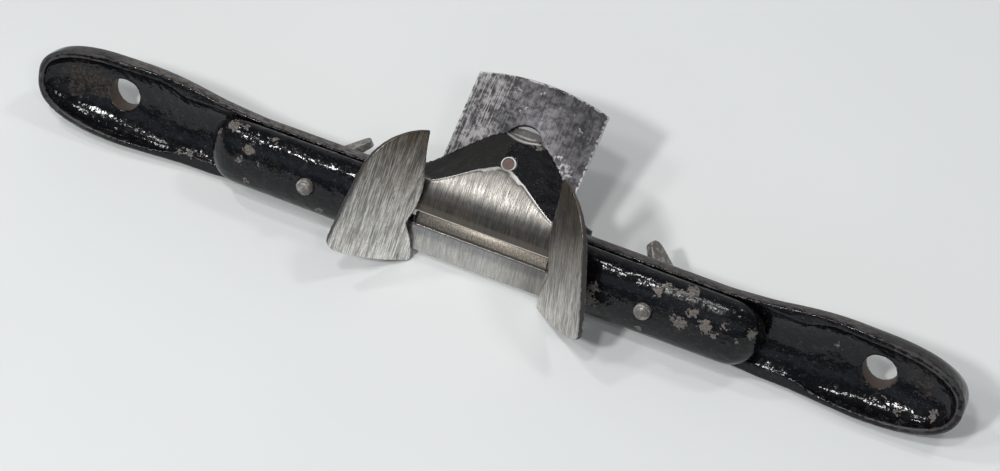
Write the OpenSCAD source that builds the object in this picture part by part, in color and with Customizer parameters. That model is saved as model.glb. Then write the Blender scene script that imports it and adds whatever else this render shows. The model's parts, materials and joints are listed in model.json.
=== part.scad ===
// Chamfer spokeshave, lying on its toe edge and thumb screws as it is put down.
// Everything is drawn in the tool's own axes and laid down at the end:
// X along the handles, Y from the toe towards the heel, Z out of the sole.
// Y = 0 is the centre line of the arms and Z = 0 is the face of the sole.

/* [Handles and arms] */
// Length over both handles
overall_l = 267; // [250:1:280]
// Width of a handle at its widest
handle_w = 25.7; // [22:0.1:28]
// How far the handle's middle lies off the arm's centre line, towards the heel
handle_shift = 0.65; // [0:0.05:1]
// Width of an arm where the fence slides
arm_w = 18.8; // [18.6:0.2:21]
// Depth of an arm from the sole face to its back
arm_depth = 8.4; // [8:0.2:11]
// Height of the handle rim above the sole face
rim_rise = 2.4; // [1:0.2:4]
// Depth of the dish below the sole face at the hanging hole
dish_depth = 4.6; // [3.6:0.2:5.6]
// Iron left under the dish
dish_floor = 4.4; // [3.4:0.2:6]
// How far the dish draws in on each side towards the fence's bar
dish_pinch = 2.4; // [0:0.2:4]
// Width of the rim round the dish
rim_w = 1.9; // [1.4:0.1:2.6]
// Distance between the hanging holes
hole_pitch = 219; // [205:1:225]
// Diameter of a hanging hole
hole_d = 9.2; // [6:0.2:10]

/* [Sole] */
// Width of the toe in front of the mouth
toe_w = 7.9; // [6:0.1:10]
// Distance from the centre line of the arms to the front of the toe
toe_front = 11.9; // [11:0.1:14]
// Thickness of the toe bar
toe_t = 5.2; // [4:0.2:7]
// Width of the slope ground along the toe's rear edge
lip_w = 2.8; // [1:0.1:4]
// How far that slope falls at the mouth
lip_drop = 0.4; // [0.1:0.05:0.8]
// Radius of the ground heel
heel_r = 20; // [19:0.5:24]
// Width of the ground heel
heel_w = 43; // [41:1:45]

/* [Cutter bed] */
// Slope of the bed to the sole
bed_angle = 45; // [43:1:47]
// Where the bed meets the sole face, ahead of the centre line of the arms
bed_ahead = 0.94; // [0.6:0.02:1.4]
// Reach of the bed's arch at the sole face
arch_reach = 13.1; // [12.6:0.1:13.6]
// Half width of the arch's bell shape at the sole face
arch_half = 26; // [25:0.1:27]
// How much wider the bell gets on each side for each unit of depth
arch_flare = 0.63; // [0.5:0.01:0.7]
// Distance from the centre line of the arms at which the bell runs out
arch_foot = 7; // [6:0.2:8]
// Outward slope of the arch's end for each unit of depth
arch_draft = 0.354; // [0.3:0.01:0.4]
// Depth of the arch below the sole face
arch_depth = 21.2; // [20:0.2:22]

/* [Cutter] */
// Width of the cutter
cutter_w = 37.6; // [36:0.2:38.4]
// Thickness of the cutter
cutter_t = 1.6; // [1.4:0.1:2]
// Length of the cutter in the middle
cutter_l = 47.4; // [46:0.2:52]
// Height of the arched top over its corners
cutter_arch = 2.8; // [2:0.2:4]
// How far the edge stands out of the sole
edge_out = 0.3; // [0.1:0.05:0.5]
// Angle of the ground bevel
bevel_angle = 26; // [22:1:32]
// Width of the slot
slot_w = 10.4; // [8:0.2:11]
// Distance from the top of the cutter to the round end of the slot
slot_top = 12.4; // [11.4:0.2:13]
// Length of the slot
slot_l = 22; // [21:0.5:24]

/* [Cap iron] */
// Width of the cap iron
cap_w = 33; // [28:0.5:35]
// Thickness of the cap iron
cap_t = 3; // [2.4:0.1:3.6]
// Distance of its lower end from where the bed meets the sole
cap_start = 0.6; // [0.2:0.1:2]
// Distance of its arched top end from the same place
cap_end = 32.1; // [30:0.1:32.3]

/* [Thumb screws] */
// Diameter of the cap screw
cap_screw_d = 4.2; // [3.6:0.1:5]
// Place of the cap screw up the bed
cap_screw_s = 20; // [18:0.5:21]
// Diameter of its knurled head
knob_d = 14; // [12:0.5:16]
// Height of its knurled head
knob_h = 5.5; // [4:0.5:7]
// Diameter of the fence screws
fence_screw_d = 4.7; // [4:0.1:5]
// Reach of a fence screw's flat head from its axis
head_r = 9.6; // [8.5:0.1:10]
// Reach of the flat head behind the screw's seat
head_h = 9.9; // [9.4:0.1:11]
// Thickness of the flat head
head_t = 2.1; // [1.6:0.1:3]
// Turn of the left screw's head
left_head_turn = 33; // [0:1:180]
// Turn of the right screw's head
right_head_turn = 144; // [0:1:180]

/* [Fences] */
// Angle of a fence plate to the sole
plate_angle = 45; // [43:1:47]
// Distance of a plate's lower edge from the middle of the tool
plate_in = 17.9; // [17:0.1:19]
// Height of a plate's lower edge above the sole face
plate_up = 0.3; // [0.25:0.05:0.6]
// Width of a plate at the front
plate_w = 25.3; // [22:0.1:28]
// Reach of a plate behind the centre line
plate_back = 25.4; // [23:0.1:28]
// Reach of a plate in front of the centre line
plate_front = 15; // [14:0.1:17]
// Thickness of a plate in the middle
plate_t = 1.8; // [1.6:0.1:2.6]
// How much thinner a plate is at its two ends
plate_thin = 1; // [0.6:0.1:1.1]
// Width of the bar that slides on the arm
bar_w = 18.8; // [18:0.2:19.2]
// Thickness of the bar
bar_t = 10; // [9:0.2:11]
// Depth of the bar in the arm's groove
bar_sunk = 2.5; // [2:0.1:3]
// Distance of the bar's round end from the middle of the tool
bar_end = 79.5; // [76:0.5:82]
// Distance of the fence screw from the middle of the tool
screw_x = 48.5; // [46:0.5:52]
// Travel of a fence towards the middle
fence_in = 16; // [12:0.5:16]
// Travel of a fence away from the middle
fence_out = 3; // [1:0.5:4]

/* [Clearances] */
// Gap between a bar and its groove
slide_gap = 0.3; // [0.25:0.05:0.4]
// Radial gap between a screw and its hole
screw_gap = 0.05; // [0.02:0.01:0.09]
// Gap between the cutter and the cap iron, and between loose flat faces
face_gap = 0.05; // [0.02:0.01:0.1]
// Gap between the cutter's sides and the cheeks
cheek_gap = 0.5; // [0.3:0.1:0.8]

/* [Lying down] */
// How far the sole leans back from facing straight up
lie_tilt = 65; // [62:0.5:68]

/* [Hidden] */

black = "#1b1c1f";
steel = "#b9b7b1";
dark_steel = "#77777b";
brown_steel = "#8a7f78";

half_l = overall_l / 2;
hole_x = hole_pitch / 2;
widest_x = hole_x - 2.5;
neck_x = 55;
oval_power = 2.2;
tip_power = 2.4;
flank_power = 2.3;
bar_centre = bar_t / 2 - bar_sunk;
groove_start = plate_in + 5;
toe_half = groove_start + 2;
bell_half = arch_half + 1;
bar_key_start = max(toe_half, bell_half) + fence_in + slide_gap;
mouth_y = toe_w - toe_front;
throat_half = cutter_w / 2 + cheek_gap;
far = 60;
cutter_under = face_gap + cutter_t;
edge_s = -(edge_out + cutter_under * cos(bed_angle)) / sin(bed_angle);
cutter_top = edge_s + cutter_l;
top_r = (cutter_w * cutter_w / 4 + cutter_arch * cutter_arch) / (2 * cutter_arch);

function mix(a, b, t) = a + (b - a) * t;
function smooth(a, b, x) = let (t = min(1, max(0, (x - a) / (b - a)))) t * t * (3 - 2 * t);
function round_off(t, p) = pow(max(0, 1 - pow(max(0, t), p)), 1 / p);
function oval(half_w, half_h, a, p) =
    [half_w * sign(cos(a)) * pow(abs(cos(a)), 2 / p), half_h * sign(sin(a)) * pow(abs(sin(a)), 2 / p)];
function bezier(a, b, c, d, n) =
    [for (i = [0:n - 1]) let (t = i / n, s = 1 - t)
        a * s * s * s + b * 3 * s * s * t + c * 3 * s * t * t + d * t * t * t];

// A closed skin over rings that all have the same number of points. Each end is
// closed by a fan from one point of its ring.
module skin(rings, pivot = 0) {
    n = len(rings[0]);
    m = len(rings);
    points = [for (ring = rings) each ring];
    sides = [for (j = [0:m - 2]) for (i = [0:n - 1])
        let (a = j * n + i, b = j * n + (i + 1) % n)
            each [[a, b, b + n], [a, b + n, a + n]]];
    first = [for (i = [0:n - 1]) (pivot - i + n) % n];
    last = [for (i = [0:n - 1]) (m - 1) * n + (pivot + i) % n];
    polyhedron(points, concat([first], sides, [last]));
}

// The bed's own axes: X across, Y up the bed, Z out of the bed's heel side
module on_bed() {
    translate([0, -bed_ahead, 0]) rotate([-bed_angle, 0, 0]) children();
}

// Lays the whole tool down
module laid() {
    translate([0, lie_y, lie_z]) rotate([lie_tilt, 0, 0]) children();
}
function down(y, z) = -y * sin(lie_tilt) - z * cos(lie_tilt);
function ahead(y, z) = z * sin(lie_tilt) - y * cos(lie_tilt);
lie_z = max(down(-plate_front, plate_up), down(-toe_front + 1.2, -toe_t + 1.2));
lie_front = max([for (p = leaf()) ahead(p[1], plate_up + p[0] * sin(plate_angle))]);
lie_back = -ahead(-bed_ahead + cutter_top * cos(bed_angle) - cutter_under * sin(bed_angle),
    -cutter_top * sin(bed_angle) - cutter_under * cos(bed_angle));
lie_y = (lie_front - lie_back) / 2;

// Reach of an arm or handle from the centre line, at a distance from the middle. The
// toe side swells out sooner and less than the heel side.
function reach(x, from, to, most) = x < widest_x
    ? mix(arm_w / 2, most, smooth(from, to, x))
    : most * round_off((x - widest_x) / (half_l - widest_x), tip_power);
function toe_reach(x) = reach(x, neck_x - 9, neck_x + 27, handle_w / 2 - handle_shift);
function heel_reach(x) = reach(x, neck_x + 13, widest_x - 5, handle_w / 2 + handle_shift);
function half_w(x) = (heel_reach(x) + toe_reach(x)) / 2;
function middle_y(x) = (heel_reach(x) - toe_reach(x)) / 2;
function tip_scale(x) = round_off((x - half_l + 7) / 7, 2.4);
function rim_z(x) = mix(0, rim_rise, smooth(bar_end + fence_out, widest_x + 4, x)) - 1.6 * (1 - tip_scale(x));
function back_z(x) = mix(-arm_depth, -dish_depth - dish_floor, smooth(neck_x, hole_x, x))
    * mix(0.35, 1, tip_scale(x));
dish_l = half_l - rim_w - widest_x;
function dish_half(x) = x < widest_x ? half_w(x) - rim_w - dish_pinch * smooth(bar_end + 18, bar_end + 4, x)
    : max(0.12, (handle_w / 2 - rim_w) * round_off((x - widest_x) / dish_l, tip_power));
function dish_z(x) = mix(-bar_sunk - slide_gap, -dish_depth, smooth(bar_end, hole_x, x));
function dish_fade(x) = max(0.02, round_off((x - widest_x) / dish_l, 2.2));

// Half width and depth of the groove that carries a fence's bar
function groove_point(a) =
    let (p = oval(bar_w / 2 + slide_gap, bar_t / 2 + slide_gap, a, oval_power)) [p[0], p[1] + bar_centre];
groove_dip = -bar_centre / (bar_t / 2 + slide_gap);
groove_a = asin(pow(-groove_dip, oval_power / 2));

ring_steps = 14;
function arm_ring(x) =
    let (h = half_w(x), m = middle_y(x), r = rim_z(x), b = back_z(x), d = dish_half(x),
        g = smooth(bar_end + fence_out + 1, bar_end + 15, x),
        side = r - 0.9)
    concat(
        [for (i = [0:ring_steps]) let (a = -180 * i / ring_steps, p = oval(h, side - b, a, flank_power))
            [x, m + p[0], side + p[1]]],
        [[x, m - h + 0.25, r - 0.15], [x, mix(-groove_edge, m - d, g), r]],
        [for (i = [1:ring_steps - 1])
            let (t = i / ring_steps,
                q = groove_point(-180 + groove_a + (180 - 2 * groove_a) * t),
                dish_y = m - d * cos(180 * t),
                dish_drop = pow(sin(180 * t), 0.85) * (r - dish_z(x)) * dish_fade(x))
            [x, mix(q[0], dish_y, g), mix(q[1], r - dish_drop, g)]],
        [[x, mix(groove_edge, m + d, g), r], [x, m + h - 0.25, r - 0.15]]);
groove_edge = groove_point(-groove_a)[0];

arm_stations = concat([groove_start, neck_x - 9, neck_x + 2, (neck_x + bar_end) / 2, bar_end],
    [for (i = [1:9]) mix(bar_end, widest_x + 4, i / 9)],
    [for (i = [1:9]) mix(widest_x + 4, widest_x + dish_l, sin(90 * i / 9))],
    [for (i = [1:4]) mix(widest_x + dish_l, half_l - 0.1, sin(90 * i / 4))]);

module arm_and_handle() {
    skin([for (x = arm_stations) arm_ring(x)], ring_steps / 2);
}

// The block between the arms, with the toe along its front
module middle_block() {
    section = concat(
        [for (i = [0:ring_steps])
            let (a = -180 * i / ring_steps, p = oval(arm_w / 2, arm_depth - 0.9, a, flank_power))
            [p[0], -0.9 + p[1]]],
        [[-arm_w / 2 + 0.25, 0], [arm_w / 2 - 0.25, 0]]);
    rotate([90, 0, 90]) linear_extrude(2 * groove_start + 1, center = true) polygon(section);
    difference() {
        translate([-toe_half, -toe_front, -toe_t]) cube([2 * toe_half, toe_w, toe_t]);
        translate([0, -toe_front, -toe_t]) rotate([45, 0, 0]) cube([far, 2.4, 2.4], center = true);
    }
}

// The arch behind the mouth: a bell shape that widens with depth, cut by the bed
function arch_y(x, z) =
    let (half = arch_half - arch_flare * z, top = arch_reach - arch_draft * z)
    arch_foot + (top - arch_foot) * (1 + cos(180 * min(1, abs(x) / half))) / 2;
module arch() {
    wide = bell_half;
    levels = 6;
    difference() {
        skin([for (k = [0:levels]) let (z = -arch_depth * (1 - k / levels))
            concat([[0, 0, z], [-wide, 0, z]],
                [for (i = [0:40]) let (x = mix(-wide, wide, i / 40)) [x, arch_y(x, z), z]],
                [[wide, 0, z]])]);
        on_bed() translate([-far, -far, -far]) cube([2 * far, 2 * far, far]);
    }
}

// The slope ground along the toe's rear edge
module toe_lip() {
    past = 0.5;
    outline = [[mouth_y - lip_w, 0], [mouth_y + past, -lip_drop * (lip_w + past) / lip_w],
        [mouth_y + past, 1], [mouth_y - lip_w, 1]];
    rotate([90, 0, 90]) linear_extrude(2 * throat_half, center = true) polygon(outline);
}

// What grinding takes off behind the mouth
module ground_off() {
    difference() {
        translate([-heel_w / 2, 0, -12]) cube([heel_w, 30, 13]);
        translate([0, 0, -heel_r]) rotate([0, 90, 0]) cylinder(h = far, r = heel_r, center = true, $fn = 96);
    }
}

// The mouth, the throat and everything in front of the bed
module throat() {
    deep = 40;
    bed_deep = deep / tan(bed_angle) - bed_ahead;
    outline = [[mouth_y, 1], [mouth_y, -1], [mouth_y - 2.6, -toe_t - 4], [mouth_y - 2.6, -deep],
        [bed_deep, -deep], [0.1, -(0.1 + bed_ahead) * tan(bed_angle)], [0.1, 1]];
    rotate([90, 0, 90]) linear_extrude(2 * throat_half, center = true) polygon(outline);
}

module body_casting() {
    color(black) difference() {
        union() {
            middle_block();
            arch();
            arm_and_handle();
            mirror([1, 0, 0]) arm_and_handle();
        }
        ground_off();
        toe_lip();
        throat();
        on_bed() translate([0, cap_screw_s, -1]) cylinder(h = 14, d = cap_screw_d + 2 * screw_gap, $fn = 48);
        for (side = [-1, 1]) {
            translate([side * hole_x, 0, -20]) cylinder(h = 30, d = hole_d, $fn = 64);
            screw_slot(side);
        }
    }
}

// Slot and flat seat for a fence screw, as long as the fence's travel
module screw_slot(side) {
    gap = slide_gap * 2;
    from = screw_x - fence_in;
    to = screw_x + fence_out;
    slot_r = fence_screw_d / 2 + gap / 2;
    for (part = [[slot_r, -20, 25], [collar_r + 1.2, -20, 20 - arm_depth + 0.7]])
        translate([0, 0, part[1]]) linear_extrude(part[2]) {
            translate([side * (from + to) / 2, 0]) square([to - from, 2 * part[0]], center = true);
            for (x = [from, to]) translate([side * x, 0]) circle(part[0], $fn = 48);
        }
}
collar_r = 4;

// The cutter in the bed's axes
module cutter() {
    color(dark_steel) on_bed() translate([0, 0, -face_gap]) difference() {
        translate([0, 0, -cutter_t]) linear_extrude(cutter_t) intersection() {
            translate([-cutter_w / 2, edge_s]) square([cutter_w, cutter_l]);
            translate([0, cutter_top - top_r]) circle(top_r, $fn = 180);
        }
        slot_end = cutter_top - slot_top;
        translate([0, 0, -cutter_t - 1]) linear_extrude(cutter_t + 2) {
            for (s = [slot_end - slot_w / 2, slot_end - slot_l + slot_w / 2])
                translate([0, s]) circle(slot_w / 2, $fn = 64);
            translate([-slot_w / 2, slot_end - slot_l + slot_w / 2]) square([slot_w, slot_l - slot_w]);
        }
        translate([0, edge_s, -cutter_t]) rotate([bevel_angle, 0, 0])
            translate([-far / 2, -5, 0]) cube([far, 30, 10]);
    }
}

// The cap iron in the bed's axes, hollow underneath so that it bears at its ends
module cap_iron() {
    under = -cutter_under - face_gap;
    hollow = 0.5;
    side_view = [[cap_start, under], [cap_start + 0.1, under - 0.5], [cap_start + 4.5, under - cap_t],
        [cap_end - 1.4, under - cap_t], [cap_end - 0.4, under - cap_t + 0.4], [cap_end, under - cap_t + 1.4],
        [cap_end, under], [cap_end - 6, under], [cap_end - 7, under - hollow],
        [cap_start + 5, under - hollow], [cap_start + 4, under]];
    top_round = cap_w * 0.62;
    color(black) on_bed() difference() {
        intersection() {
            rotate([90, 0, 90]) linear_extrude(cap_w, center = true) polygon(side_view);
            translate([0, cap_end - top_round, under - cap_t - 1])
                cylinder(h = cap_t + 2, r = top_round, $fn = 120);
        }
        translate([0, cap_screw_s, under - cap_t - 1])
            cylinder(h = cap_t + 2, d = cap_screw_d + 2 * slide_gap, $fn = 48);
    }
}

// The cap screw in the bed's axes: shank, collar and knurled head
screw_reach = 5.2;
knurls = 44;
module cap_thumb_screw() {
    seat = -cutter_under - 2 * face_gap - cap_t;
    collar_h = 2;
    color(brown_steel) on_bed() translate([0, cap_screw_s, 0]) {
        translate([0, 0, seat - 1]) cylinder(h = screw_reach - 0.4 - seat + 1, d = cap_screw_d, $fn = 48);
        translate([0, 0, screw_reach - 0.4])
            cylinder(h = 0.4, d1 = cap_screw_d, d2 = cap_screw_d - 1, $fn = 48);
        translate([0, 0, seat - collar_h]) cylinder(h = collar_h, d = cap_screw_d * 2, $fn = 48);
        translate([0, 0, seat - collar_h - knob_h]) linear_extrude(knob_h)
            polygon([for (i = [0:2 * knurls - 1]) let (r = knob_d / 2 - 0.45 * (i % 2), a = 180 * i / knurls)
                [r * cos(a), r * sin(a)]]);
        translate([0, 0, seat - collar_h - knob_h - 1])
            cylinder(h = 1.2, d1 = knob_d - 3.6, d2 = knob_d - 1.6, $fn = 64);
    }
}

// Outline of a plate: across its slope, then along the centre line
function leaf() = let (w = plate_w, f = -plate_front, b = plate_back)
    concat(
        bezier([1.2, b], [9.5, b + 1.3], [15.8, b - 3.4], [18.3, b - 9.8], 10),
        bezier([18.3, b - 9.8], [20.6, 8.6], [22.4, 2.6], [w - 0.4, -5.4], 6),
        bezier([w - 0.4, -5.4], [w + 0.2, -7.2], [w + 0.1, -8.4], [w - 2.2, -9.9], 5),
        bezier([w - 2.2, -9.9], [17.4, -12.6], [9, f + 0.4], [1, f], 7),
        bezier([1, f], [0.4, -11.6], [1.9, -7.4], [3.8, -2.8], 6),
        bezier([3.8, -2.8], [1.2, 1.6], [-0.3, 6.8], [0.5, 12], 7),
        bezier([0.5, 12], [0.9, 15], [1.5, 19], [1.2, b], 4));

module plate_axes() {
    translate([plate_in, 0, plate_up]) rotate([0, -plate_angle, 0]) children();
}
module plate() {
    half = (plate_back + plate_front) / 2;
    crown_r = (half * half + plate_thin * plate_thin) / (2 * plate_thin);
    plate_axes() intersection() {
        translate([0, 0, -plate_t]) linear_extrude(plate_t) polygon(leaf());
        translate([0, half - plate_front, crown_r - plate_t]) rotate([0, 90, 0])
            cylinder(h = 2 * far, r = crown_r, center = true, $fn = 180);
    }
}

// The bar is an oval rod with a domed end
bar_steps = 28;
bar_dome = bar_end - bar_w / 2;
function bar_ring(x) =
    let (g = round_off((x - bar_dome) / (bar_end - bar_dome), oval_power),
        w = bar_w / 2 * mix(1, 1.04, smooth(bar_dome, plate_in, x)),
        c = bar_centre - (1 - g) * 3.2)
    [for (i = [0:bar_steps - 1]) let (p = oval(w * g, bar_t / 2 * g, -360 * i / bar_steps, oval_power))
        [x, p[0], c + p[1]]];
bar_stations = concat([plate_in - 2, bar_dome - 16, bar_dome],
    [for (i = [1:9]) mix(bar_dome, bar_end - 0.06, sin(90 * i / 9))]);

module fence() {
    clear_z = 1.5;
    difference() {
        union() {
            plate();
            difference() {
                skin([for (x = bar_stations) bar_ring(x)]);
                plate_axes() translate([-far, -far, -1]) cube([2 * far, 2 * far, far]);
                translate([-far, -far, clear_z - far]) cube([far + bar_key_start, 2 * far, far]);
            }
        }
        translate([screw_x, 0, -far / 2]) cylinder(h = far, d = fence_screw_d + 2 * screw_gap, $fn = 48);
        translate([0, -far, plate_up - far]) cube([bar_key_start, 2 * far, far]);
    }
}
module right_fence() {
    color(black) fence();
}
module left_fence() {
    color(black) mirror([1, 0, 0]) fence();
}

// A fence screw: shank with a domed end, collar, hub and a flat heart-shaped head
module fence_screw(turn) {
    top = bar_t - bar_sunk + 0.9;
    seat = -arm_depth + 0.7 - slide_gap;
    hub_h = 4.6;
    lobe_r = 2.4;
    root_r = 1.9;
    notch_h = 1.8;
    shoulder = seat - 3.6;
    cylinder(h = top, d = fence_screw_d, $fn = 48);
    translate([0, 0, seat]) cylinder(h = -seat, d = fence_screw_d, $fn = 48);
    translate([0, 0, top]) intersection() {
        translate([0, 0, -2.2]) sphere(d = 6.4, $fn = 64);
        cylinder(h = 3, d = fence_screw_d, $fn = 48);
    }
    translate([0, 0, seat - 1.8]) cylinder(h = 1.8, r = collar_r, $fn = 48);
    translate([0, 0, seat - hub_h]) cylinder(h = hub_h, r = 2.9, $fn = 48);
    rotate([90, 0, turn]) linear_extrude(head_t, center = true) for (side = [-1, 1])
        hull() {
            translate([side * 0.7, shoulder]) circle(root_r, $fn = 24);
            translate([side * (head_r - 4.6), shoulder]) circle(root_r, $fn = 24);
            translate([side * (root_r + 0.3), seat - head_h + notch_h + root_r]) circle(root_r, $fn = 24);
            translate([side * (head_r - lobe_r), seat - head_h + lobe_r]) circle(lobe_r, $fn = 32);
        }
}
module left_fence_screw() {
    color(brown_steel) translate([-screw_x, 0, 0]) fence_screw(left_head_turn);
}
module right_fence_screw() {
    color(brown_steel) translate([screw_x, 0, 0]) fence_screw(right_head_turn);
}

laid() body_casting();
laid() cutter();
laid() cap_iron();
laid() cap_thumb_screw();
laid() left_fence();
laid() right_fence();
laid() left_fence_screw();
laid() right_fence_screw();
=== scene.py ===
"""A chamfer spokeshave lying on a pale table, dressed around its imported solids."""
import json
import math

import bmesh
import bpy
from mathutils import Euler, Matrix, Vector
from mathutils.bvhtree import BVHTree
from mathutils.kdtree import KDTree


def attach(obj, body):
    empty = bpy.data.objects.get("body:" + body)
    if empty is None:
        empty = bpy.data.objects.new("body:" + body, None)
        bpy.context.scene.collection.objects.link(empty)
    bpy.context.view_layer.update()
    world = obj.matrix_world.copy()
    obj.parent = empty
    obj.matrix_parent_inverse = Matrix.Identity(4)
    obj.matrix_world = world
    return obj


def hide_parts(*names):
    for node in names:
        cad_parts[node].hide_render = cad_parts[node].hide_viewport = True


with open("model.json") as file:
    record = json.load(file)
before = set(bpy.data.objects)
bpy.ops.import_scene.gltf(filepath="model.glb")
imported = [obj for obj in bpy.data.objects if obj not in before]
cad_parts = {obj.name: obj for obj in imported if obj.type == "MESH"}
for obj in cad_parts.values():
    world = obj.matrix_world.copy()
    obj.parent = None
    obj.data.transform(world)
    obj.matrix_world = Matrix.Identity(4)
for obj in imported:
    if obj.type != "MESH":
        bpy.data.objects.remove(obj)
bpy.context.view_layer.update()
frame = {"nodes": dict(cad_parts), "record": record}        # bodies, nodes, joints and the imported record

MM = 0.001

# How the tool lies. Tool axes: X along the handles, Y towards the heel, Z out of the sole.
TILT = math.radians(65)
HOLE_IN_TOOL = Vector((-109.5, 0, -6.8)) * MM
left_hole = next(m for m in frame["record"]["mounts"] if m["name"] == "left_hanging_hole")
LIE = Vector(left_hole["pos_m"]) - Matrix.Rotation(TILT, 3, "X") @ HOLE_IN_TOOL
TOOL = Matrix.Translation(LIE) @ Matrix.Rotation(TILT, 4, "X")


# Node trees

class Board:
    """Sets out nodes in one material or one shared effect and joins them up."""

    def __init__(self, tree):
        self.tree = tree
        self.count = 0

    def put(self, kind, settings=None, **sockets):
        node = self.tree.nodes.new(kind)
        node.location = (180 * (self.count % 12), -220 * (self.count // 12))
        self.count += 1
        for key, value in (settings or {}).items():
            setattr(node, key, value)
        for key, value in sockets.items():
            self.feed(node.inputs[key.replace("_", " ")], value)
        return node

    def feed(self, socket, value):
        if isinstance(value, bpy.types.NodeSocket):
            self.tree.links.new(value, socket)
        else:
            socket.default_value = value

    def noise(self, place, scale, detail=2.0, roughness=0.5, distortion=0.0):
        node = self.put("ShaderNodeTexNoise", Vector=place, Scale=scale, Detail=detail,
                        Roughness=roughness, Distortion=distortion)
        return node.outputs["Fac"]

    def sum(self, operation, a, b=0.0, c=0.0):
        node = self.put("ShaderNodeMath", {"operation": operation})
        for socket, value in zip(node.inputs, (a, b, c)):
            self.feed(socket, value)
        return node.outputs[0]

    def span(self, value, low, high, to_low=0.0, to_high=1.0):
        """Carries a value from one range to another, softly and clamped."""
        node = self.put("ShaderNodeMapRange", {"interpolation_type": "SMOOTHSTEP"})
        for key, v in (("Value", value), ("From Min", low), ("From Max", high),
                       ("To Min", to_low), ("To Max", to_high)):
            self.feed(node.inputs[key], v)
        return node.outputs["Result"]

    def blend(self, share, a, b):
        node = self.put("ShaderNodeMix", {"data_type": "RGBA"})
        for key, v in ((0, share), (6, a), (7, b)):
            self.feed(node.inputs[key], v)
        return node.outputs[2]

    def blend_value(self, share, a, b):
        node = self.put("ShaderNodeMix", {"data_type": "FLOAT"})
        for key, v in ((0, share), (2, a), (3, b)):
            self.feed(node.inputs[key], v)
        return node.outputs[0]

    def place(self, where, scale=(1, 1, 1), turn=(0, 0, 0), shift=(0, 0, 0)):
        """A position stretched, turned in degrees and shifted."""
        node = self.put("ShaderNodeMapping", Vector=where, Scale=scale, Location=shift,
                        Rotation=[math.radians(a) for a in turn])
        return node.outputs[0]

    def tool_place(self):
        """The position in the tool's own axes, in millimetres."""
        where = self.put("ShaderNodeTexCoord").outputs["Object"]
        node = self.put("ShaderNodeMapping", {"vector_type": "TEXTURE"}, Vector=where,
                        Location=LIE, Rotation=(TILT, 0, 0), Scale=(MM, MM, MM))
        return node.outputs[0]

    def axes(self, where):
        node = self.put("ShaderNodeSeparateXYZ", Vector=where)
        return node.outputs[0], node.outputs[1], node.outputs[2]

    def mark(self, name):
        return self.put("ShaderNodeAttribute", {"attribute_name": name}).outputs["Fac"]

    def effect(self, group, **sockets):
        return self.put("ShaderNodeGroup", {"node_tree": group}, **sockets).outputs


def shared_effect(name, inputs, outputs):
    """An empty node group with named inputs and outputs, ready to be filled."""
    tree = bpy.data.node_groups.new(name, "ShaderNodeTree")
    for label, kind, value in inputs:
        socket = tree.interface.new_socket(label, in_out="INPUT", socket_type=kind)
        if value is not None:
            socket.default_value = value
    for label, kind in outputs:
        tree.interface.new_socket(label, in_out="OUTPUT", socket_type=kind)
    board = Board(tree)
    return tree, board, board.put("NodeGroupInput").outputs, board.put("NodeGroupOutput").inputs


def finish_of(name, **constants):
    """A material with one Principled shader whose constants sit on its own sockets."""
    material = bpy.data.materials.new(name)
    material.use_nodes = True
    material.node_tree.nodes.clear()
    board = Board(material.node_tree)
    skin = board.put("ShaderNodeBsdfPrincipled", **constants)
    out = board.put("ShaderNodeOutputMaterial")
    material.node_tree.links.new(skin.outputs[0], out.inputs["Surface"])
    return material, board, skin


FLOAT, COLOUR, VECTOR = "NodeSocketFloat", "NodeSocketColor", "NodeSocketVector"


# Black japan: uneven gloss coat, dull patches, pale specks and chips down to brown iron
def make_japan_effect():
    tree, b, given, out = shared_effect(
        "black_japan",
        [("Place", VECTOR, None), ("Chips", FLOAT, 0.3), ("Dull", FLOAT, 0.3), ("Bare", FLOAT, 0.0)],
        [("Colour", COLOUR), ("Roughness", FLOAT), ("Height", FLOAT), ("Chipped", FLOAT)])
    place = given["Place"]
    peel = b.noise(place, 0.85, 1.5, 0.5)
    swell = b.noise(place, 0.30, 1.0)
    flake = b.noise(place, 0.75, 5.0, 0.66, 0.4)
    limit = b.sum("MULTIPLY_ADD", given["Chips"], -0.30, 0.80)
    chipped = b.span(flake, limit, b.sum("ADD", limit, 0.022))
    chipped = b.sum("MAXIMUM", chipped, given["Bare"])
    specks = b.span(b.noise(place, 2.6, 2.0, 0.5), 0.67, 0.73)
    haze = b.noise(place, 0.16, 4.0, 0.6)
    dull = b.span(haze, b.sum("MULTIPLY_ADD", given["Dull"], -0.6, 0.75), b.sum("MULTIPLY_ADD", given["Dull"], -0.6, 0.85))
    iron = b.blend(b.span(b.noise(place, 1.9, 5.0, 0.75), 0.34, 0.62), (0.05, 0.043, 0.037, 1), (0.20, 0.175, 0.155, 1))
    coat = b.blend(dull, (0.0035, 0.0038, 0.0052, 1), (0.0145, 0.0140, 0.0128, 1))
    smear = b.span(b.noise(place, 0.45, 5.0, 0.7), 0.48, 0.74)
    coat = b.blend(b.sum("MULTIPLY", smear, 0.55), coat, (0.034, 0.030, 0.026, 1))
    coat = b.blend(b.sum("MULTIPLY", specks, 0.5), coat, (0.20, 0.195, 0.19, 1))
    b.feed(out["Colour"], b.blend(chipped, coat, iron))
    rough = b.blend_value(dull, 0.115, 0.42)
    b.feed(out["Roughness"], b.blend_value(chipped, rough, 0.60))
    grit = b.noise(place, 3.2, 1.0, 0.5)
    height = b.sum("MULTIPLY_ADD", peel, 0.092, b.sum("MULTIPLY", swell, 0.26))
    height = b.sum("MULTIPLY_ADD", grit, 0.012, height)
    b.feed(out["Height"], b.sum("MULTIPLY_ADD", chipped, -0.05, height))
    b.feed(out["Chipped"], chipped)
    return tree


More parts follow.
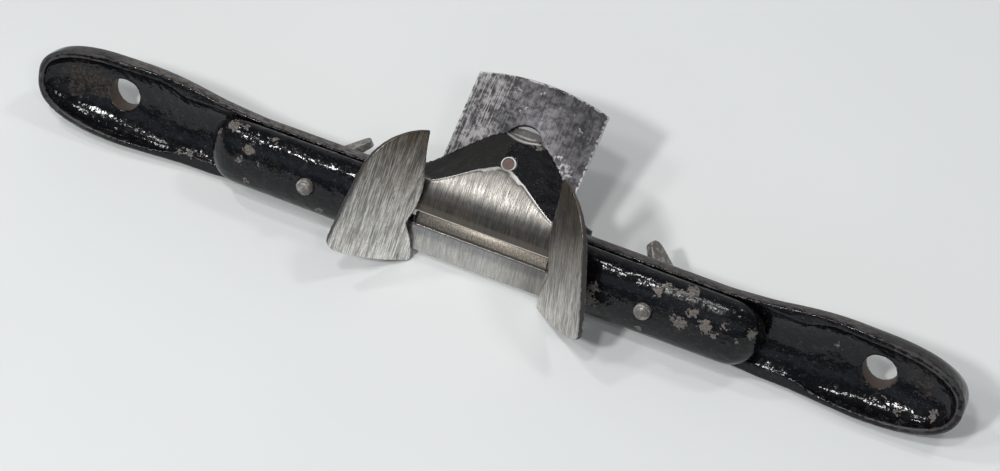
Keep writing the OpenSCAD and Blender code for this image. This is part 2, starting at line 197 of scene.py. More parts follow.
# Ground iron: fine lines along the Y of the place it is given
def make_ground_effect():
    tree, b, given, out = shared_effect(
        "ground_iron",
        [("Place", VECTOR, None), ("Stain", FLOAT, 0.3), ("Bright", FLOAT, 0.5), ("Contrast", FLOAT, 0.5)],
        [("Colour", COLOUR), ("Roughness", FLOAT), ("Height", FLOAT)])
    place = given["Place"]
    lines = b.noise(b.place(place, (3.4, 0.20, 3.4)), 1.0, 3.0, 0.6, 0.1)
    wide = b.noise(b.place(place, (0.9, 0.07, 0.9)), 1.0, 3.0, 0.6)
    cuts = b.span(b.noise(b.place(place, (2.6, 0.22, 2.6), (0, 0, 7)), 1.0, 2.0, 0.5), 0.66, 0.72)
    spots = b.noise(place, 0.8, 5.0, 0.72)
    cloud = b.noise(place, 0.11, 3.0, 0.55)
    tone = b.sum("MULTIPLY_ADD", lines, 0.65, b.sum("MULTIPLY", wide, 0.35))
    tone = b.span(b.sum("ADD", tone, b.sum("MULTIPLY", cloud, 0.25)), 0.52, 0.74)
    light = b.blend(given["Bright"], (0.20, 0.185, 0.16, 1), (0.92, 0.90, 0.86, 1))
    dark = b.blend(given["Bright"], (0.05, 0.043, 0.035, 1), (0.36, 0.35, 0.33, 1))
    mean = b.blend(0.5, dark, light)
    metal = b.blend(given["Contrast"], mean, b.blend(tone, dark, light))
    metal = b.blend(b.sum("MULTIPLY", cuts, b.sum("MULTIPLY", given["Contrast"], 0.8)), metal, (0.06, 0.055, 0.05, 1))
    stain = b.sum("MULTIPLY", b.span(b.sum("ADD", b.sum("MULTIPLY", spots, 0.6), b.sum("MULTIPLY", cloud, 0.4)), 0.44, 0.64), given["Stain"])
    b.feed(out["Colour"], b.blend(stain, metal, (0.15, 0.105, 0.07, 1)))
    b.feed(out["Roughness"], b.sum("MULTIPLY_ADD", tone, -0.06, b.sum("MULTIPLY_ADD", stain, 0.15, 0.33)))
    height = b.sum("MULTIPLY_ADD", lines, 0.06, b.sum("MULTIPLY", spots, 0.012))
    b.feed(out["Height"], b.sum("MULTIPLY_ADD", cuts, -0.03, height))
    return tree


# Old bare iron and steel: mottled dark skin with paler rubbed places
def make_patina_effect():
    tree, b, given, out = shared_effect(
        "dark_patina",
        [("Place", VECTOR, None), ("Rubbed", FLOAT, 0.4), ("Rust", FLOAT, 0.3)],
        [("Colour", COLOUR), ("Roughness", FLOAT), ("Height", FLOAT), ("Pale", FLOAT)])
    place = given["Place"]
    mottle = b.noise(place, 0.42, 6.0, 0.68)
    fine = b.noise(place, 2.6, 4.0, 0.7)
    pits = b.noise(place, 1.3, 3.0, 0.6, 0.4)
    pale = b.span(b.sum("ADD", b.sum("MULTIPLY", mottle, 0.7), b.sum("MULTIPLY", fine, 0.3)),
                  b.sum("MULTIPLY_ADD", given["Rubbed"], -0.22, 0.66),
                  b.sum("MULTIPLY_ADD", given["Rubbed"], -0.22, 0.80))
    rust = b.sum("MULTIPLY", b.span(b.noise(place, 0.7, 4.0, 0.6), 0.5, 0.7), given["Rust"])
    dark = b.blend(fine, (0.045, 0.043, 0.045, 1), (0.11, 0.105, 0.105, 1))
    metal = b.blend(pale, dark, (0.46, 0.45, 0.44, 1))
    b.feed(out["Colour"], b.blend(rust, metal, (0.15, 0.075, 0.04, 1)))
    b.feed(out["Roughness"], b.sum("MULTIPLY_ADD", pale, -0.16, b.sum("MULTIPLY_ADD", rust, 0.2, 0.5)))
    b.feed(out["Height"], b.sum("MULTIPLY_ADD", pits, 0.04, b.sum("MULTIPLY", fine, 0.015)))
    b.feed(out["Pale"], pale)
    return tree


# Worn edge: 1 on a sharp edge, fading out within the width, broken up by noise
def make_edge_effect():
    tree, b, given, out = shared_effect(
        "worn_edge",
        [("Place", VECTOR, None), ("Distance", FLOAT, 5.0), ("Width", FLOAT, 0.5), ("Patchy", FLOAT, 0.5)],
        [("Worn", FLOAT)])
    ragged = b.sum("MULTIPLY", b.sum("SUBTRACT", b.noise(given["Place"], 0.5, 4.0, 0.65), 0.5), given["Patchy"])
    reach = b.sum("MULTIPLY_ADD", ragged, 6.0, given["Width"])
    b.feed(out["Worn"], b.span(b.sum("SUBTRACT", given["Distance"], reach), 0.12, -0.12))
    return tree


# Worn spot: 1 within a ragged patch round a centre, its outline broken up by a given noise
def make_spot_effect():
    tree, b, given, out = shared_effect(
        "worn_spot",
        [("Place", VECTOR, None), ("Centre", VECTOR, None), ("Reach", FLOAT, 1.5), ("Ragged", FLOAT, 0.5),
         ("Soft", FLOAT, 0.14)],
        [("Worn", FLOAT)])
    away = b.put("ShaderNodeVectorMath", {"operation": "DISTANCE"})
    b.feed(away.inputs[0], given["Place"])
    b.feed(away.inputs[1], given["Centre"])
    share = b.sum("DIVIDE", away.outputs["Value"], given["Reach"])
    share = b.sum("MULTIPLY_ADD", b.sum("SUBTRACT", given["Ragged"], 0.5), -2.0, share)
    b.feed(out["Worn"], b.span(share, 1.0, b.sum("SUBTRACT", 1.0, given["Soft"])))
    return tree


JAPAN, GROUND = make_japan_effect(), make_ground_effect()
PATINA, EDGE = make_patina_effect(), make_edge_effect()
SPOT = make_spot_effect()


def worn_places(b, place, places, grain=0.9, soft=0.14):
    """Ragged patches about the given centres, each with its reach, in tool millimetres.

    The place is pulled about by noise first, so no patch comes out round."""
    ragged = b.noise(place, 1.2, 3.0, 0.6)
    drift = b.put("ShaderNodeTexNoise", Vector=place, Scale=grain, Detail=1.0).outputs["Color"]
    pull = b.put("ShaderNodeVectorMath", {"operation": "MULTIPLY_ADD"})
    for socket, value in zip(pull.inputs, (drift, (3.4 / grain,) * 3, (-1.7 / grain,) * 3)):
        b.feed(socket, value)
    shifted = b.put("ShaderNodeVectorMath", {"operation": "ADD"})
    b.feed(shifted.inputs[0], place)
    b.feed(shifted.inputs[1], pull.outputs[0])
    place = shifted.outputs[0]
    worn = 0.0
    for *centre, reach in places:
        one = b.effect(SPOT, Place=place, Centre=centre, Reach=reach, Ragged=ragged, Soft=soft)["Worn"]
        worn = b.sum("MAXIMUM", worn, one)
    return worn


def bump(board, skin, height, strength=1.0):
    """Feeds a height in millimetres to the shader's normal."""
    node = board.put("ShaderNodeBump", Height=height, Distance=MM, Strength=strength)
    board.feed(skin.inputs["Normal"], node.outputs[0])


HEEL_R, HOLE_X = 20.0, 109.5
GRIP_WEAR = ((-122.0, 0.8, -3.0, 5.6), (-117.0, -1.0, -3.2, 4.0), (121.9, 1.8, -3.3, 2.5))
RIM_CHIPS = ((-89.5, -8.8, 0.0, 0.6), (-86.1, -8.5, -0.2, 0.8), (-80.0, -8.3, 0.0, 0.5), (-77.5, -8.0, 0.2, 0.6),
             (97.0, 3.5, -3.4, 0.7), (112.5, -6.0, -3.0, 0.9), (117.0, -7.5, -1.2, 1.1), (126.0, -4.5, -0.4, 1.4))
HUMP_WEAR = ((-2.0, 20.6, -21.0, 1.4), (1.5, 20.4, -21.0, 1.6), (4.5, 19.6, -19.6, 1.6))


def make_casting_finish():
    material, b, skin = finish_of("casting_finish", IOR=1.5, Specular_IOR_Level=0.30)
    place = b.tool_place()
    x, y, z = b.axes(place)
    edge = b.mark("edge")
    half = b.sum("ABSOLUTE", x)
    # The heel is where the surface lies on the grinding cylinder
    depth = b.sum("ADD", z, HEEL_R)
    radius = b.sum("SQRT", b.sum("MULTIPLY_ADD", y, y, b.sum("MULTIPLY", depth, depth)))
    off = b.sum("ABSOLUTE", b.sum("SUBTRACT", radius, HEEL_R))
    on_heel = b.sum("MULTIPLY", b.span(half, 22.2, 21.6), b.span(y, -1.6, -1.2))
    heel = b.sum("MULTIPLY", b.span(off, 0.2, 0.08), on_heel)
    heel_line = b.sum("MULTIPLY", b.span(off, 0.42, 0.26), b.sum("MULTIPLY", on_heel, b.span(y, 5.5, 7.5)))
    boundary_line_highlight = b.sum("MULTIPLY", heel_line, b.span(off, 0.08, 0.2))
    toe = b.sum("MULTIPLY", b.span(y, -3.6, -3.9), b.span(half, 25.2, 24.9))
    toe = b.sum("MULTIPLY", toe, b.span(z, -5.6, -5.3))
    worked = b.sum("MAXIMUM", heel, toe)
    # Olive, dull left shoulder of the hump; glossy elsewhere
    shoulder = b.sum("MULTIPLY", b.span(x, 1.5, -4.0), b.sum("MULTIPLY", b.span(half, 30.0, 27.0), b.span(y, 6.0, 9.0)))
    grip = b.sum("MULTIPLY", worn_places(b, place, GRIP_WEAR, 0.3), 0.85)
    bare_spots = worn_places(b, place, RIM_CHIPS + HUMP_WEAR, 0.8)
    japan = b.effect(JAPAN, Place=place, Chips=0.02, Dull=b.sum("MULTIPLY_ADD", b.sum("MAXIMUM", shoulder, grip), 0.7, 0.12), Bare=bare_spots)
    bare = b.effect(PATINA, Place=place, Rubbed=0.2, Rust=0.45)
    rim_width = b.blend_value(b.span(half, 100.0, 122.0), 0.05, 0.55)
    rim = b.effect(EDGE, Place=place, Distance=edge, Width=rim_width, Patchy=0.3)["Worn"]
    flank = b.sum("MULTIPLY", b.span(b.mark("flank"), 0.80, 0.97), b.span(half, 27.0, 31.0))
    across = b.sum("SUBTRACT", half, HOLE_X)
    from_hole = b.sum("SQRT", b.sum("MULTIPLY_ADD", y, y, b.sum("MULTIPLY", across, across)))
    hole = b.span(from_hole, 4.78, 4.64)
    worn = b.sum("MAXIMUM", b.sum("MULTIPLY", rim, 0.6), hole)
    handled = b.blend(b.span(b.noise(place, 1.3, 5.0, 0.7), 0.42, 0.60), (0.006, 0.005, 0.004, 1), (0.060, 0.048, 0.040, 1))
    colour = b.blend(worn, b.blend(grip, japan["Colour"], handled), bare["Colour"])
    streaks = b.noise(b.place(place, (0.45, 1.6, 1.6)), 1.0, 6.0, 0.78)
    rubbed = b.blend(b.span(x, 20.0, -20.0), (0.125, 0.108, 0.098, 1), (0.22, 0.195, 0.178, 1))
    satin = b.blend(b.span(streaks, 0.40, 0.62), (0.018, 0.0165, 0.0155, 1), rubbed)
    colour = b.blend(b.sum("MULTIPLY", flank, b.blend_value(b.span(half, 98.0, 116.0), 0.9, 0.35)), colour, satin)
    colour = b.blend(b.sum("MULTIPLY", hole, 0.7), colour, (0.085, 0.05, 0.032, 1))
    rough = b.blend_value(b.sum("MAXIMUM", worn, flank), japan["Roughness"], bare["Roughness"])
    height = b.blend_value(b.sum("MAXIMUM", worn, flank), japan["Height"], bare["Height"])
    # Brown front band and paler lip of the heel, painted highlights on its mouth edge and upper boundary line, and
    # painted shade darkening it below its upper part; bright, worn toe with a painted shadow along its rear edge
    spread = b.sum("MULTIPLY", x, b.blend_value(heel, 2.0, 1.25))
    arc = b.sum("MULTIPLY", b.sum("ARCTAN2", y, depth), HEEL_R)
    fine = b.put("ShaderNodeCombineXYZ", X=spread, Y=b.blend_value(heel, y, arc), Z=b.blend_value(heel, z, 0.0)).outputs[0]
    front = b.sum("MULTIPLY", b.span(y, 7.0, 4.2), heel)
    toe_bright = b.blend_value(b.span(x, 3.0, 16.0), 0.86, 0.40)
    # Painted shade: on the heel the metal is set darker from its upper part downwards
    bright = b.blend_value(heel, toe_bright, b.blend_value(b.span(y, 9.5, 6.5), 0.24, b.blend_value(b.span(y, 6.0, 4.5), 0.20, 0.08)))
    ground = b.effect(GROUND, Place=fine, Stain=b.sum("MULTIPLY_ADD", front, 0.5, 0.15), Bright=bright, Contrast=b.blend_value(heel, 0.5, 0.75))
    metal_colour = b.blend(b.sum("MULTIPLY", b.span(y, 2.9, 1.9), b.sum("MULTIPLY", heel, 0.5)), ground["Colour"], (0.36, 0.31, 0.26, 1))
    # Painted shade: the heel's metal blended towards near-black below its upper part
    painted_heel_shade = b.blend_value(b.span(y, 9.5, 6.5), 0.0, b.blend_value(b.span(y, 5.5, 3.5), 0.50, 0.40))
    metal_colour = b.blend(b.sum("MULTIPLY", painted_heel_shade, heel), metal_colour, (0.010, 0.009, 0.008, 1))
    # Painted highlight: near-white along the heel's mouth edge and along the line at its upper boundary
    mouth_highlight = b.sum("MULTIPLY", b.sum("MULTIPLY", b.span(y, 0.55, 0.30), heel), 0.7)
    painted_highlight = b.sum("MAXIMUM", mouth_highlight, b.sum("MULTIPLY", boundary_line_highlight, b.blend_value(b.span(x, -2.0, 8.0), 0.30, 0.85)))
    # Painted shadow: a dark brown strip along the toe's rear edge
    shadow = b.sum("MULTIPLY", b.span(y, -4.9, -4.3), toe)
    metal_colour = b.blend(b.sum("MULTIPLY", shadow, 0.75), metal_colour, (0.16, 0.14, 0.12, 1))
    worked = b.sum("MAXIMUM", worked, heel_line)
    metal_colour = b.blend(painted_highlight, metal_colour, (1.0, 0.98, 0.94, 1))
    b.feed(skin.inputs["Base Color"], b.blend(worked, colour, metal_colour))
    metal_rough = b.blend_value(heel, ground["Roughness"], b.sum("MULTIPLY", ground["Roughness"], 1.3))
    b.feed(skin.inputs["Roughness"], b.blend_value(worked, rough, b.blend_value(painted_highlight, metal_rough, 0.42)))
    metal = b.sum("MULTIPLY", b.sum("MULTIPLY", worn, bare["Pale"]), 0.7)
    b.feed(skin.inputs["Metallic"], b.blend_value(worked, metal, b.blend_value(painted_highlight, 0.95, 0.35)))
    bump(b, skin, b.blend_value(worked, height, ground["Height"]))
    return material


PLATE_IN, PLATE_UP = 17.9, 0.3


BAR_CHIPS = {
    -1: ((-72.5, 8.4, 4.2, 1.7), (-69.0, 8.9, 4.0, 0.9), (-76.0, 5.5, 5.0, 0.9), (-65.8, 4.4, 7.0, 1.6), (-68.1, 0.6, 7.5, 1.1), (-62.8, 1.1, 7.4, 0.9), (-60.0, 8.6, 4.8, 0.8), (-44.0, -6.5, 6.2, 1.0),
         (-66.0, -5.5, 6.6, 0.8)),
    1: ((51.0, 6.4, 6.4, 1.5), (52.8, 8.4, 5.2, 1.0), (59.6, 9.0, 4.2, 1.7), (56.0, 7.6, 5.4, 0.9), (61.3, 4.4, 7.0, 1.5),
        (58.8, 0.2, 7.5, 1.8), (56.6, 1.4, 7.4, 0.9), (65.3, 1.9, 7.4, 1.9), (68.0, 0.6, 7.3, 0.9), (70.0, 4.0, 7.1, 1.2),
        (77.0, 3.0, 4.9, 1.5), (74.0, 0.5, 6.4, 0.8), (33.6, -2.8, 7.3, 2.4), (34.5, 1.5, 7.4, 1.6), (48.0, -6.0, 6.4, 0.9)),
}


def make_fence_finish(side):
    material, b, skin = finish_of("left_fence_finish" if side < 0 else "right_fence_finish", IOR=1.5, Specular_IOR_Level=0.30)
    place = b.tool_place()
    x, y, z = b.axes(place)
    edge = b.mark("edge")
    # How far a point lies behind the plate's ground face
    across = b.sum("SUBTRACT", b.sum("ABSOLUTE", x), PLATE_IN)
    behind = b.sum("MULTIPLY", b.sum("SUBTRACT", across, b.sum("SUBTRACT", z, PLATE_UP)), math.sqrt(0.5))
    face = b.span(behind, 0.16, 0.06)
    plate = b.span(behind, 2.3, 1.9)
    chips = worn_places(b, place, BAR_CHIPS[side], 1.1)
    quiet = b.sum("MULTIPLY", b.span(x, 44.0, 56.0), b.span(x, 76.0, 64.0))
    japan = b.effect(JAPAN, Place=place, Chips=0.12 if side > 0 else 0.02, Dull=0.0, Bare=chips)
    # Browned where nothing rubs; lighter towards the front, and the right plate painted darker than the left, a painted
    # shade
    bright = b.sum("MULTIPLY_ADD", y, *((-0.028, 0.72) if side < 0 else (-0.024, 0.52)))
    stain = b.blend_value(b.span(y, 4.0, 20.0), 0.25, 0.75)
    ground = b.effect(GROUND, Place=b.place(place, (1, 1, 1), (0, side * 45, side * -9.4)), Stain=stain, Bright=bright, Contrast=1.0)
    back = b.effect(PATINA, Place=place, Rubbed=0.15, Rust=0.6)
    worn = b.effect(EDGE, Place=place, Distance=edge, Width=0.2, Patchy=0.25)["Worn"]
    tip = b.sum("MULTIPLY", b.effect(EDGE, Place=place, Distance=edge, Width=0.05, Patchy=0.2)["Worn"], 0.6)
    colour = b.blend(tip, japan["Colour"], (0.16, 0.15, 0.145, 1))
    colour = b.blend(plate, colour, back["Colour"])
    rough = b.blend_value(b.sum("MULTIPLY", quiet, 0.5), japan["Roughness"], 0.34)
    rough = b.blend_value(plate, rough, back["Roughness"])
    height = b.blend_value(plate, japan["Height"], back["Height"])
    shown = b.sum("MAXIMUM", face, b.sum("MULTIPLY", worn, plate))
    b.feed(skin.inputs["Base Color"], b.blend(shown, colour, ground["Colour"]))
    b.feed(skin.inputs["Roughness"], b.blend_value(shown, rough, ground["Roughness"]))
    b.feed(skin.inputs["Metallic"], b.blend_value(shown, b.sum("MULTIPLY", plate, 0.5), 0.95))
    bump(b, skin, b.blend_value(shown, height, ground["Height"]))
    return material


def make_steel_finish(name, rubbed, rust, metallic, edges=0.6, lift=0.0):
    material, b, skin = finish_of(name, Metallic=metallic)
    place = b.tool_place()
    steel = b.effect(PATINA, Place=place, Rubbed=rubbed, Rust=rust)
    edge = b.effect(EDGE, Place=place, Distance=b.mark("edge"), Width=0.1, Patchy=0.3)["Worn"]
    tone = b.blend(lift, steel["Colour"], (0.27, 0.24, 0.21, 1))
    b.feed(skin.inputs["Base Color"], b.blend(b.sum("MULTIPLY", edge, edges), tone, (0.62, 0.58, 0.53, 1)))
    b.feed(skin.inputs["Roughness"], steel["Roughness"])
    bump(b, skin, steel["Height"])
    return material


CAP_SCREW_S, CAP_SCREW_R = 20.0, 2.1
UNDER_BED = 0.665          # what the bed's length gains on (y - z) / sqrt 2


def along_bed(b, y, z):
    return b.sum("MULTIPLY_ADD", b.sum("SUBTRACT", y, z), math.sqrt(0.5), UNDER_BED)


def make_cap_screw_finish():
    material, b, skin = finish_of("cap_screw_finish")
    place = b.tool_place()
    x, y, z = b.axes(place)
    steel = b.effect(PATINA, Place=place, Rubbed=0.1, Rust=0.2)
    # The end that shows in the hump: brown, with a near-white ring round its edge
    off = b.sum("SUBTRACT", along_bed(b, y, z), CAP_SCREW_S)
    out_from = b.sum("SQRT", b.sum("MULTIPLY_ADD", x, x, b.sum("MULTIPLY", off, off)))
    end = b.span(b.sum("ADD", y, z), -1.0, 0.0)
    ring = b.sum("MULTIPLY", b.span(out_from, CAP_SCREW_R - 0.50, CAP_SCREW_R - 0.38), end)
    brown = b.blend(b.noise(place, 1.6, 4.0, 0.6), (0.075, 0.050, 0.043, 1), (0.15, 0.105, 0.094, 1))
    colour = b.blend(end, steel["Colour"], brown)
    b.feed(skin.inputs["Base Color"], b.blend(ring, colour, (0.95, 0.94, 0.92, 1)))
    b.feed(skin.inputs["Roughness"], b.blend_value(ring, steel["Roughness"], 0.45))
    b.feed(skin.inputs["Metallic"], b.blend_value(ring, 0.75, 0.25))
    bump(b, skin, b.sum("MULTIPLY", steel["Height"], b.sum("SUBTRACT", 1.0, ring)))
    return material


BLADE_HALF, BLADE_TOP, BLADE_ROUND = 18.8, 45.33, 64.5
BLADE_BLOTCHES = ((13.4, 16.8, -17.8, 3.0), (11.0, 18.6, -19.6, 1.6), (14.6, 14.8, -15.8, 2.0), (13.7, 25.0, -26.0, 1.7),
                  (10.5, 27.0, -28.0, 1.0), (-3.0, 25.0, -26.0, 1.5), (-7.0, 28.0, -29.0, 1.6), (-1.0, 29.5, -30.5, 1.2))


def make_cutter_finish():
    material, b, skin = finish_of("cutter_finish", Metallic=0.9)
    place = b.tool_place()
    x, y, z = b.axes(place)
    s = along_bed(b, y, z)
    steel = b.effect(PATINA, Place=place, Rubbed=0.15, Rust=0.0)
    lengthwise = b.place(place, (1, 1, 1), (45, 0, 0))
    mottle = b.noise(place, 0.55, 6.0, 0.72)
    dark = b.blend(b.span(mottle, 0.35, 0.65), (0.043, 0.040, 0.046, 1), (0.10, 0.096, 0.104, 1))
    # Rubbed and scratched along the left side, blotched on the right
    rubbed = b.span(x, -3.0, -13.0)
    scratch = b.noise(b.place(lengthwise, (3.2, 0.10, 3.2)), 1.0, 4.0, 0.7)
    pale = b.sum("MULTIPLY", b.span(b.sum("MULTIPLY_ADD", mottle, 0.6, b.sum("MULTIPLY", scratch, 0.5)), 0.50, 0.62), b.blend_value(rubbed, 0.16, 0.60))
    lines = b.span(scratch, b.blend_value(rubbed, 0.70, 0.57), b.blend_value(rubbed, 0.74, 0.63))
    near = worn_places(b, place, BLADE_BLOTCHES, 0.6, 1.0)
    blotch = b.span(b.sum("MULTIPLY_ADD", near, 0.26, b.noise(place, 1.1, 6.0, 0.75)), 0.60, 0.74)
    pale = b.sum("MAXIMUM", b.sum("MAXIMUM", pale, b.sum("MULTIPLY", lines, 0.8)), b.sum("MULTIPLY", blotch, 0.85))
    drop = b.sum("ADD", s, BLADE_ROUND - BLADE_TOP)
    to_top = b.sum("SUBTRACT", BLADE_ROUND, b.sum("SQRT", b.sum("MULTIPLY_ADD", x, x, b.sum("MULTIPLY", drop, drop))))
    to_side = b.sum("SUBTRACT", BLADE_HALF, b.sum("ABSOLUTE", x))
    broken = b.sum("MULTIPLY", b.span(b.noise(place, 0.8, 4.0, 0.7), 0.40, 0.60), 0.75)
    rim = b.span(b.sum("MINIMUM", to_top, to_side), broken, b.sum("MULTIPLY", broken, 0.6))
    honed = b.sum("MULTIPLY", b.span(z, -1.3, -1.0), b.span(y, 1.0, 0.5))
    colour = b.blend(pale, b.blend(0.2, dark, steel["Colour"]), (0.43, 0.42, 0.41, 1))
    colour = b.blend(b.sum("MULTIPLY", rim, 0.7), colour, (0.70, 0.68, 0.66, 1))
    colour = b.blend(honed, colour, b.blend(b.span(scratch, 0.40, 0.62), (0.15, 0.13, 0.105, 1), (0.31, 0.28, 0.235, 1)))
    # Painted shadow: a dark band on the bevel along the cutting edge, where the narrow mouth lies in shade
    colour = b.blend(b.sum("MULTIPLY", honed, b.span(y, -2.9, -3.1)), colour, (0.10, 0.09, 0.08, 1))
    b.feed(skin.inputs["Base Color"], colour)
    b.feed(skin.inputs["Roughness"], b.blend_value(honed, b.blend_value(pale, 0.48, 0.42), 0.42))
    height = b.sum("MULTIPLY_ADD", scratch, 0.02, b.sum("MULTIPLY", steel["Height"], 0.7))
    bump(b, skin, b.sum("MULTIPLY", height, b.sum("MULTIPLY_ADD", honed, -0.8, 1.0)))
    return material


# Shapes

def welded(node):
    """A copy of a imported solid's mesh with its triangles joined into one skin."""
    bm = bmesh.new()
    bm.from_mesh(frame["nodes"][node].data)
    bmesh.ops.remove_doubles(bm, verts=bm.verts, dist=0.002 * MM)
    return bm


def crease_points(bm, least, convex):
    """Points along the edges that turn by more than an angle, one each tenth of a millimetre."""
    points = []
    for edge in bm.edges:
        if len(edge.link_faces) != 2 or abs(edge.calc_face_angle(0)) < least or edge.is_convex != convex:
            continue
        a, b = (v.co for v in edge.verts)
        steps = max(1, int((b - a).length / (0.1 * MM)))
        points += [a.lerp(b, i / steps) for i in range(steps + 1)]
    return points


def piece_from(bm, name, material):
    mesh = bpy.data.meshes.new(name)
    bm.to_mesh(mesh)
    bm.free()
    piece = bpy.data.objects.new(name, mesh)
    bpy.context.scene.collection.objects.link(piece)
    mesh.materials.append(material)
    return piece


def tree_of(points):
    tree = KDTree(max(1, len(points)))
    for i, p in enumerate(points or [Vector((9, 9, 9))]):
        tree.insert(p, i)
    tree.balance()
    return tree


def distances(tree, verts):
    return [min(9.0, tree.find(v.co)[2] / MM) for v in verts]


def softened(node, name, material, grain, evening, rounding, least=30):
    """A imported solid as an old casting: one even skin, facets evened out, edges a little rounded.

    grain is the size of the skin's faces in millimetres, evening and rounding are smoothing rounds
    away from the edges and all over. Near an edge the skin is drawn back onto the solid, and its
    nearest points onto the edge itself. The distance to the nearest outer edge and how far the
    skin faces outwards at the tool's front or back stay on its points."""
    bm = welded(node)
    solid = BVHTree.FromBMesh(bm)
    outer = crease_points(bm, math.radians(least), True)
    creases = tree_of(outer + crease_points(bm, math.radians(least), False))
    outer = tree_of(outer)
    piece = piece_from(bm, name, material)
    cover = piece.modifiers.new("even skin", "REMESH")
    cover.mode = "VOXEL"
    cover.voxel_size = grain * MM
    bpy.context.view_layer.update()
    mesh = bpy.data.meshes.new_from_object(piece.evaluated_get(bpy.context.evaluated_depsgraph_get()))
    piece.modifiers.clear()
    bm = bmesh.new()
    bm.from_mesh(mesh)
    bpy.data.meshes.remove(mesh)
    bm.normal_update()
    away = distances(creases, bm.verts)
    open_ground = [v for v, d in zip(bm.verts, away) if d > max(0.8, 2 * grain)]
    by_crease = [v for v, d in zip(bm.verts, away) if d <= 2.6 * grain]
    for _ in range(evening):
        bmesh.ops.smooth_vert(bm, verts=open_ground, factor=0.5, use_axis_x=True, use_axis_y=True, use_axis_z=True)
    for v in by_crease:
        on_solid, facing, _, _ = solid.find_nearest(v.co)
        point, _, gap = creases.find(v.co)
        ridge = v.normal @ facing < 0.9
        v.co = point if ridge or gap < 0.55 * grain * MM else on_solid
    bmesh.ops.remove_doubles(bm, verts=by_crease, dist=0.3 * grain * MM)
    for _ in range(rounding):
        bmesh.ops.smooth_vert(bm, verts=bm.verts, factor=0.5, use_axis_x=True, use_axis_y=True, use_axis_z=True)
    bm.normal_update()
    across, into = TOOL.to_3x3() @ Vector((0, 1, 0)), TOOL.inverted()
    outwards = [v.normal @ across * math.copysign(1, (into @ v.co).y) for v in bm.verts]
    marks = {"edge": distances(outer, bm.verts), "flank": outwards}
    bm.to_mesh(piece.data)
    bm.free()
    for label, values in marks.items():
        mark = piece.data.attributes.new(label, "FLOAT", "POINT")
        mark.data.foreach_set("value", values)
    piece.data.shade_smooth()
    return piece


def threaded(piece, across, low, pitch, depth):
    """Cuts a fine thread into the front end of a fence screw that stands at a place along the arm."""
    into = TOOL.inverted()
    for v in piece.data.vertices:
        x, y, z = (into @ v.co) / MM
        x -= across
        out_from = math.hypot(x, y)
        if z < low or out_from < 0.6:
            continue
        wave = 0.5 - 0.5 * math.cos(2 * math.pi * (z / pitch - math.atan2(y, x) / (2 * math.pi)))
        keep = 1 - depth * wave * min(1, (z - low) / 0.3) / out_from
        v.co = TOOL @ (Vector((across + x * keep, y * keep, z)) * MM)


def eased(node, name, material, width):
    """A packed flat-sided solid with its sharp edges eased by a small bevel."""
    bm = welded(node)
    bmesh.ops.dissolve_limit(bm, angle_limit=math.radians(0.5), verts=bm.verts, edges=bm.edges)
    piece = piece_from(bm, name, material)
    round_over = piece.modifiers.new("eased edges", "BEVEL")
    round_over.width = width * MM
    round_over.segments = 2
    round_over.limit_method = "ANGLE"
    round_over.angle_limit = math.radians(30)
    round_over.harden_normals = True
    piece.data.shade_smooth()
    return piece


def seat(piece, body, node):
    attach(piece, body)
    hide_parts(node)


casting = softened("body_casting", "handle_casting", make_casting_finish(), 0.466, 20, 1)
seat(casting, "body", "body_casting")
for side, label in ((-1, "left"), (1, "right")):
    fence = softened(f"{label}_fence", f"{label}_sliding_fence", make_fence_finish(side), 0.34, 20, 1)
    seat(fence, f"{label}_fence", f"{label}_fence")
screw_finish = make_steel_finish("screw_finish", 0.85, 0.5, 0.35, 0.6, 0.35)
for side, label in ((-1, "left"), (1, "right")):
    screw = softened(f"{label}_fence_screw", f"{label}_thumb_screw", screw_finish, 0.18, 6, 3)
    threaded(screw, side * 48.5, 7.2, 0.8, 0.24)
    seat(screw, f"{label}_fence_screw", f"{label}_fence_screw")
cap_screw = softened("cap_thumb_screw", "knurled_cap_screw", make_cap_screw_finish(), 0.17, 4, 1)
seat(cap_screw, "cap_thumb_screw", "cap_thumb_screw")
cutter = eased("cutter", "shaving_cutter", make_cutter_finish(), 0.12)
seat(cutter, "cutter", "cutter")
cap_iron = eased("cap_iron", "pressing_cap_iron", make_steel_finish("cap_iron_finish", 0.5, 0.3, 0.15, 0.0, 0.2), 0.25)
seat(cap_iron, "body", "cap_iron")


# Table, light and camera

def make_table():
    bm = bmesh.new()
    bmesh.ops.create_grid(bm, x_segments=8, y_segments=8, size=1.6)
    material, b, skin = finish_of("pale_paper", Roughness=0.85)
    where = b.put("ShaderNodeTexCoord").outputs["Object"]
    paper = b.blend(b.noise(where, 14.0, 3.0), (0.80, 0.815, 0.805, 1), (0.83, 0.845, 0.835, 1))
    across, along, _ = b.axes(where)
    far = b.sum("SQRT", b.sum("MULTIPLY_ADD", across, across, b.sum("MULTIPLY", along, along)))
    # Painted shade: the paper darkens away from the tool, and towards the back left corner
    paper = b.blend(b.sum("MULTIPLY", b.span(far, 0.28, 0.80), 0.7), paper, (0.16, 0.165, 0.17, 1))
    corner_painted_shade = b.span(b.sum("SUBTRACT", along, across), 0.10, 0.34)
    b.feed(skin.inputs["Base Color"], b.blend(b.sum("MULTIPLY", corner_painted_shade, 0.34), paper, (0.30, 0.31, 0.31, 1)))
    table = piece_from(bm, "table_top", material)


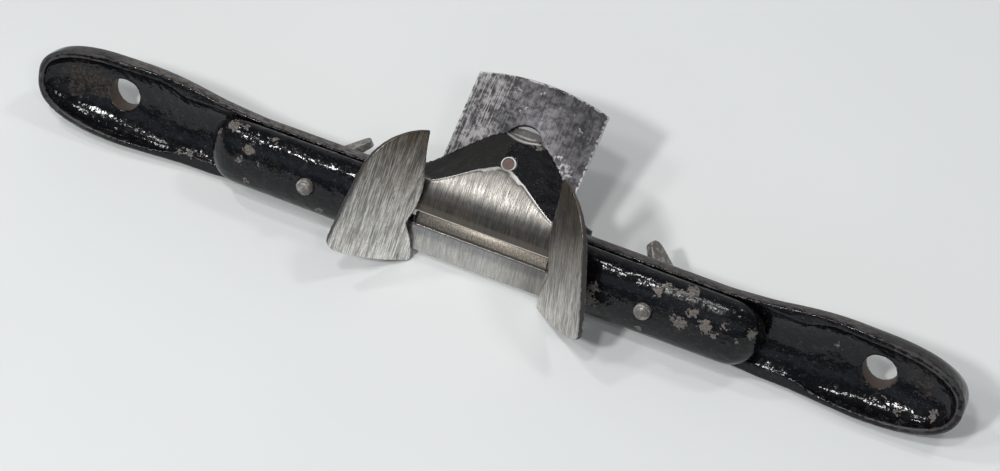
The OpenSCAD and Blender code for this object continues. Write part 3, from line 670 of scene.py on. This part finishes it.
def hang_light(name, towards, distance, size, power, colour=(1, 1, 1)):
    """A square soft light in a direction from the tool, facing it."""
    data = bpy.data.lights.new(name, "AREA")
    data.shape = "SQUARE"
    data.size = size
    data.energy = power
    data.color = colour
    lamp = bpy.data.objects.new(name, data)
    bpy.context.scene.collection.objects.link(lamp)
    back = Vector(towards).normalized()
    lamp.location = back * distance
    lamp.rotation_euler = back.to_track_quat("Z", "Y").to_euler()


def light_room():
    world = bpy.data.worlds.new("studio")
    bpy.context.scene.world = world
    world.use_nodes = True
    world.node_tree.nodes.clear()
    b = Board(world.node_tree)
    where = b.put("ShaderNodeTexCoord").outputs["Generated"]
    across, along, height = b.axes(where)
    wall = b.sum("MULTIPLY", b.span(along, 0.35, 0.90), b.span(height, 1.0, 0.40))
    sky = b.blend(wall, (0.11, 0.115, 0.125, 1), (0.45, 0.46, 0.47, 1))
    window = b.sum("MULTIPLY", b.span(along, -0.50, -0.85), b.sum("MULTIPLY", b.span(height, 0.12, 0.30), b.span(height, 0.65, 0.45)))
    sky = b.blend(window, sky, (0.46, 0.51, 0.60, 1))
    light = b.put("ShaderNodeBackground", Color=sky, Strength=1.0)
    out = b.put("ShaderNodeOutputWorld")
    world.node_tree.links.new(light.outputs[0], out.inputs["Surface"])


def set_camera():
    data = bpy.data.cameras.new("photo_camera")
    data.sensor_width = 36
    data.lens = 106.35
    data.shift_x = -0.00904
    data.shift_y = 0.00035
    data.clip_start = 0.05
    camera = bpy.data.objects.new("photo_camera", data)
    bpy.context.scene.collection.objects.link(camera)
    camera.location = (0.198243, -0.406945, 0.651134)
    camera.rotation_euler = Euler([math.radians(a) for a in (34.70698, 0.82768, 24.53515)])
    bpy.context.scene.camera = camera


make_table()
light_room()
LAMPS = (
    ("front_left_lamp", (-0.27, -0.55, 0.80), 0.13, 5.9),
    ("overhead_lamp", (-0.10, -0.22, 0.97), 0.12, 2.6),
    ("left_lamp", (-0.53, 0.10, 0.85), 0.10, 1.7),
    ("left_front_lamp", (-0.50, -0.30, 0.80), 0.14, 1.6),
    ("right_back_lamp", (0.40, 0.35, 0.85), 0.16, 1.8),
    ("right_front_lamp", (0.42, -0.42, 0.80), 0.14, 1.3),
    ("back_lamp", (0.05, 0.62, 0.78), 0.80, 0.4),
)
for name, towards, size, power in LAMPS:
    hang_light(name, towards, 1.3, size, power)
set_camera()
bpy.context.scene.view_settings.view_transform = "Standard"
